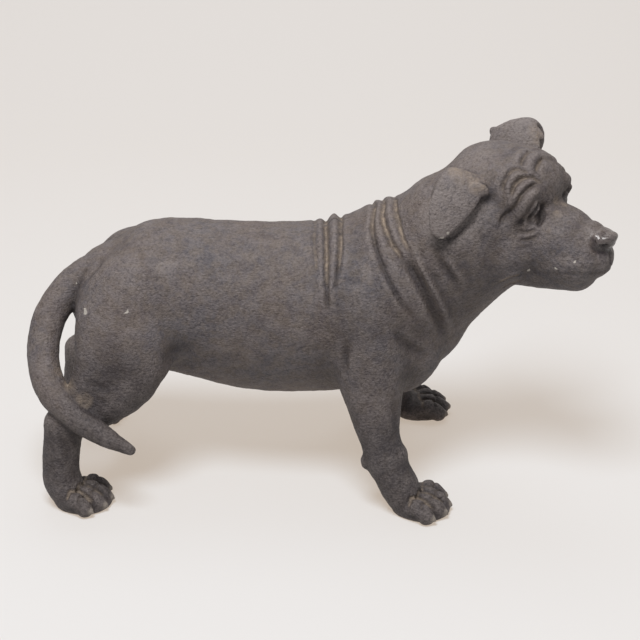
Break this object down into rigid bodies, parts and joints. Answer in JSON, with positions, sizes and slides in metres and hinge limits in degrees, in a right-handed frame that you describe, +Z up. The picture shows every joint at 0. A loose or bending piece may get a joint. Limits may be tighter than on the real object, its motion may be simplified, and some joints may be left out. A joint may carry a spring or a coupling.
{
  "type": "bull terrier statue",
  "caption": "Small cast statue of a young bull terrier standing on its four paws, head turned to its right and thick tail curled round one hind leg.",
  "frame": {"origin": "on the floor, under the middle of the figure's length and width", "axes": "+X the way the body faces, from tail to chest; +Y towards the dog's own left; +Z up"},
  "size_m": [0.2788, 0.139, 0.1758],
  "materials": {
    "dark_resin": "cast resin painted a dark warm charcoal, matt and finely grained, with an ochre wash left in the creases"
  },
  "bodies": {
    "root": {"bull_terrier": "dark_resin"}
  },
  "joints": []
}
